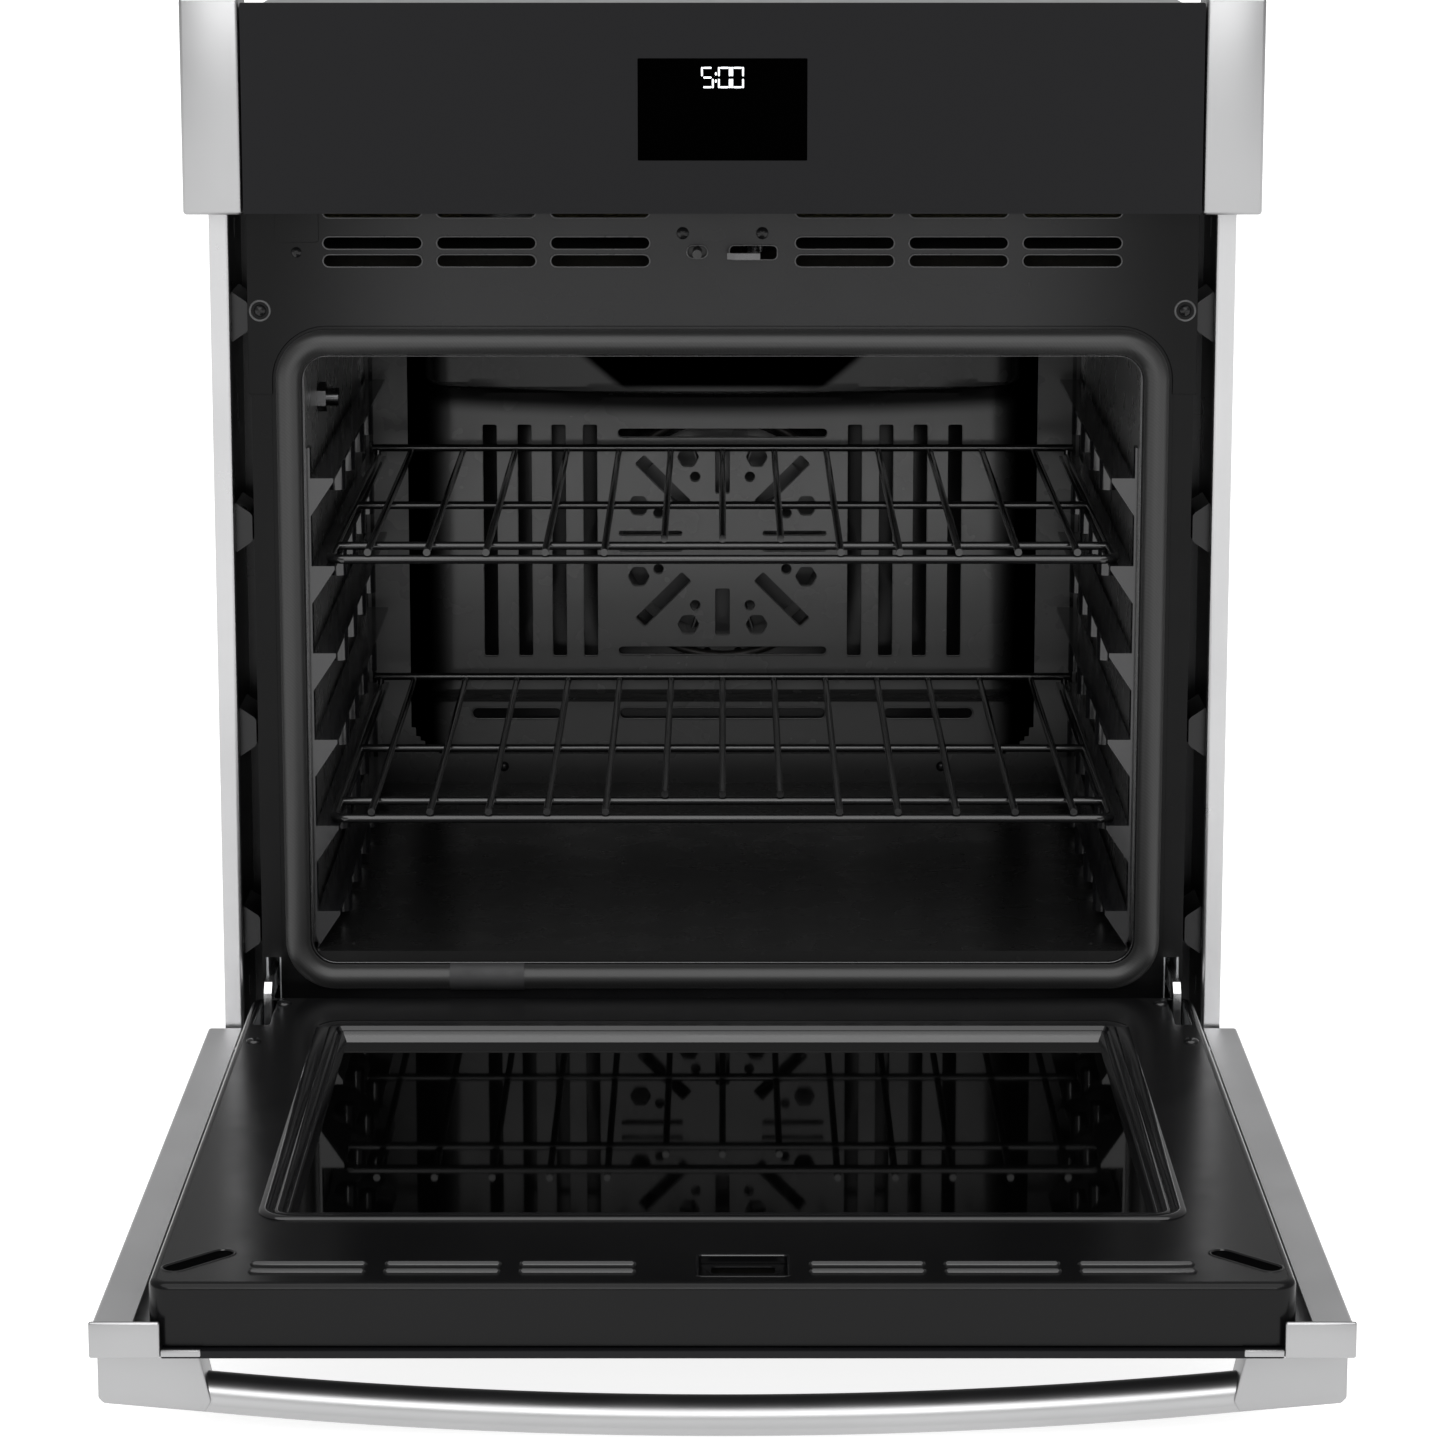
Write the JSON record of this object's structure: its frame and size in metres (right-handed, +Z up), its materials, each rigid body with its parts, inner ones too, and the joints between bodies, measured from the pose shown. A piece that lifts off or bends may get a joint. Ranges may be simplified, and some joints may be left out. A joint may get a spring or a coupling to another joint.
{
  "type": "wall oven",
  "caption": "Built-in electric wall oven with a drop-down glass door shown open, bowed bar handle, sliding wire racks and a glass control panel.",
  "frame": {"origin": "centre of the body's base face: mid width, mid depth of the cabinet-fitted body, on the underside", "axes": "+Z up, +X to the right as seen by someone facing the oven, +Y to the back; the door opens towards -Y"},
  "size_m": [0.6794, 1.162, 0.7571],
  "materials": {
    "galvanised_steel": "satin",
    "stainless_steel": "brushed",
    "bright_steel": "polished",
    "black_enamel": "semi_gloss",
    "grey_enamel": "gloss",
    "rack_wire": "semi_gloss",
    "black_glass": "gloss",
    "clear_glass": "gloss",
    "seal_fabric": "matte",
    "mineral_wool": "matte",
    "black_plastic": "matte",
    "circuit_board": "satin",
    "heating_rod": "satin",
    "motor_metal": "satin",
    "aluminium": "satin"
  },
  "bodies": {
    "chassis": {"base_pan": "galvanised_steel", "side_panel_left": "galvanised_steel", "side_panel_right": "galvanised_steel", "top_panel": "galvanised_steel", "rear_panel": "galvanised_steel", "bottom_trim": "black_enamel", "side_trim_left": "stainless_steel", "side_trim_right": "stainless_steel", "face_frame": "black_enamel", "upper_face_plate": "black_enamel", "chassis_screws": "bright_steel", "cavity_shell": "grey_enamel", "cavity_back": "grey_enamel", "insulation_wrap": "mineral_wool", "door_seal": "seal_fabric", "rack_support_left": "black_enamel", "rack_support_right": "black_enamel", "fan_cover": "grey_enamel", "bake_element": "heating_rod", "broil_element": "heating_rod", "convection_element": "heating_rod", "lamp_lens": "clear_glass", "lamp_housing": "galvanised_steel", "lamp_bulb": "clear_glass", "probe_jack": "bright_steel", "temperature_sensor": "bright_steel", "convection_motor": "motor_metal", "blower_housing": "galvanised_steel", "blower_motor": "motor_metal", "latch_motor": "motor_metal", "door_switch": "black_plastic", "power_board": "circuit_board", "terminal_box": "galvanised_steel", "conduit_fitting": "galvanised_steel", "hinge_receivers": "galvanised_steel", "hinge_arm_left": "bright_steel", "hinge_arm_right": "bright_steel", "control_glass": "black_glass", "control_cap_left": "stainless_steel", "control_cap_right": "stainless_steel", "control_housing": "black_plastic", "display_module": "black_plastic"},
    "door": {"door_outer_glass": "black_glass", "door_middle_glass": "clear_glass", "door_inner_glass": "clear_glass", "door_window_frame": "black_enamel", "door_liner": "black_enamel", "door_insulation": "mineral_wool", "door_rail_left": "stainless_steel", "door_rail_right": "stainless_steel", "hinge_bodies": "galvanised_steel", "hinge_springs": "bright_steel", "handle_bar": "stainless_steel", "handle_brackets": "stainless_steel"},
    "rack_upper": {"rack_upper": "rack_wire"},
    "rack_lower": {"rack_lower": "rack_wire"},
    "convection_fan": {"convection_fan": "aluminium"},
    "blower_wheel": {"blower_wheel": "aluminium"},
    "latch_hook": {"latch_hook": "bright_steel"},
    "switch_plunger": {"switch_plunger": "black_plastic"}
  },
  "joints": [
    {"name": "door_hinge", "type": "hinge", "parent": "chassis", "child": "door", "pos_m": [0, -0.3225, 0.075], "axis": [1, 0, 0], "range_deg": [-90, 0]},
    {"name": "rack_upper_slide", "type": "slide", "parent": "chassis", "child": "rack_upper", "axis": [0, -1, 0], "range_m": [0, 0.36]},
    {"name": "rack_lower_slide", "type": "slide", "parent": "chassis", "child": "rack_lower", "axis": [0, -1, 0], "range_m": [0, 0.36]},
    {"name": "convection_fan_spin", "type": "hinge", "parent": "chassis", "child": "convection_fan", "pos_m": [0, 0.186, 0.3244], "axis": [0, -1, 0], "continuous": true},
    {"name": "blower_spin", "type": "hinge", "parent": "chassis", "child": "blower_wheel", "pos_m": [0, 0.146, 0.655], "axis": [1, 0, 0], "continuous": true},
    {"name": "latch_hook_pivot", "type": "hinge", "parent": "chassis", "child": "latch_hook", "pos_m": [0.02, -0.254, 0.592], "axis": [0, 0, 1], "range_deg": [-16, 0]},
    {"name": "switch_plunger_slide", "type": "slide", "parent": "chassis", "child": "switch_plunger", "axis": [0, 1, 0], "range_m": [0, 0.0081]}
  ],
  "couplings": [
    {"joint": "switch_plunger_slide", "follows": "door_hinge", "m_per_rad": -0.00509}
  ]
}
